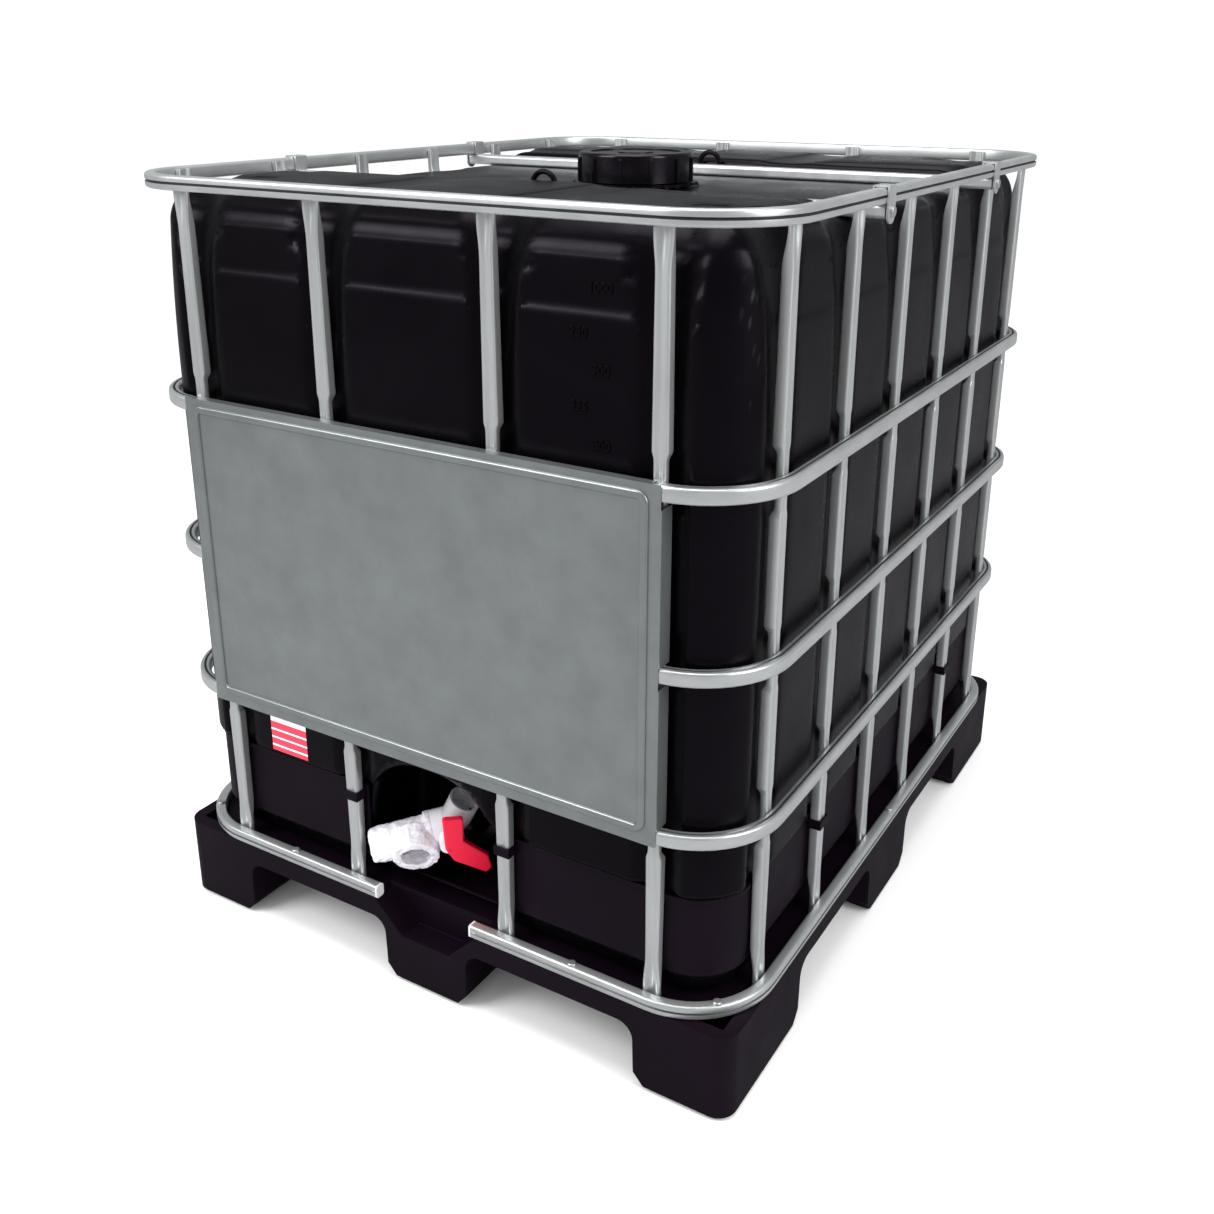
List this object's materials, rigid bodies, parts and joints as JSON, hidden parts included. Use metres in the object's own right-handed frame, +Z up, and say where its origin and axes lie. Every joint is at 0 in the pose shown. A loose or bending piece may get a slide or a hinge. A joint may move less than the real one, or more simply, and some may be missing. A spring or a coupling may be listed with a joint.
{
  "type": "intermediate bulk container",
  "caption": "Bulk liquid container: black lobed plastic bottle in a galvanised tube cage on a plastic pallet, with screw lid, label plate and a drain valve in a front recess.",
  "frame": {"origin": "on the floor under the middle of the container", "axes": "+X right along the front, +Y from the front to the back, +Z up"},
  "size_m": [1.014, 1.205, 1.179],
  "materials": {
    "galvanised_tube": "galvanised, satin",
    "plate_steel": "galvanised sheet, dull",
    "zinc_fastener": "zinc plated",
    "pallet_plastic": "moulded, fine grain",
    "bottle_plastic": "blow moulded, satin",
    "lid_plastic": "moulded, semi gloss",
    "seal_rubber": "matte",
    "valve_plastic": "moulded, semi gloss",
    "seat_plastic": "smooth",
    "natural_plastic": "translucent, unpigmented",
    "lever_plastic": "moulded, satin",
    "end_cap_plastic": "moulded",
    "label_film": "printed film"
  },
  "bodies": {
    "container": {"front_tube_1": "galvanised_tube", "front_tube_2": "galvanised_tube", "front_tube_3": "galvanised_tube", "front_tube_4": "galvanised_tube", "back_tube_1": "galvanised_tube", "back_tube_2": "galvanised_tube", "back_tube_3": "galvanised_tube", "back_tube_4": "galvanised_tube", "left_tube_1": "galvanised_tube", "left_tube_2": "galvanised_tube", "left_tube_3": "galvanised_tube", "left_tube_4": "galvanised_tube", "left_tube_5": "galvanised_tube", "left_tube_6": "galvanised_tube", "right_tube_1": "galvanised_tube", "right_tube_2": "galvanised_tube", "right_tube_3": "galvanised_tube", "right_tube_4": "galvanised_tube", "right_tube_5": "galvanised_tube", "right_tube_6": "galvanised_tube", "top_ring": "galvanised_tube", "upper_ring": "galvanised_tube", "middle_ring": "galvanised_tube", "lower_ring": "galvanised_tube", "bottom_ring": "galvanised_tube", "front_cross_bar": "galvanised_tube", "rear_cross_bar": "galvanised_tube", "front_left_hook": "galvanised_tube", "front_right_hook": "galvanised_tube", "rear_left_hook": "galvanised_tube", "rear_right_hook": "galvanised_tube", "label_plate": "plate_steel", "hook_bolts": "zinc_fastener", "ring_screws": "zinc_fastener", "pallet": "pallet_plastic", "pallet_deck": "pallet_plastic", "base_tray": "pallet_plastic", "tube_clips": "pallet_plastic", "bottle": "bottle_plastic", "front_loop": "bottle_plastic", "rear_loop": "bottle_plastic", "union_nut": "lid_plastic", "inlet_elbow": "lid_plastic", "inlet_gasket": "seal_rubber", "stem_seal": "seal_rubber", "valve_body": "valve_plastic", "valve_spout": "valve_plastic", "ball_seats": "seat_plastic", "valve_bonnet": "natural_plastic", "ring_end_caps": "end_cap_plastic", "info_label": "label_film"},
    "lid_carrier": {"lid_gasket": "seal_rubber"},
    "lid": {"lid_cap": "lid_plastic", "seal_tab": "lid_plastic"},
    "lever": {"valve_lever": "lever_plastic", "lever_screw": "lever_plastic", "valve_stem": "valve_plastic", "valve_ball": "valve_plastic"}
  },
  "joints": [
    {"name": "lid_lift", "type": "slide", "parent": "container", "child": "lid_carrier", "axis": [0, 0, 1], "range_m": [0, 0.12]},
    {"name": "lid_turn", "type": "hinge", "parent": "lid_carrier", "child": "lid", "pos_m": [0, 0, 1.168], "axis": [0, 0, 1], "continuous": true},
    {"name": "lever_turn", "type": "hinge", "parent": "container", "child": "lever", "pos_m": [-0.0238, -0.5078, 0.22724], "axis": [0.7071, -0.7071, 0], "range_deg": [0, 90]}
  ]
}
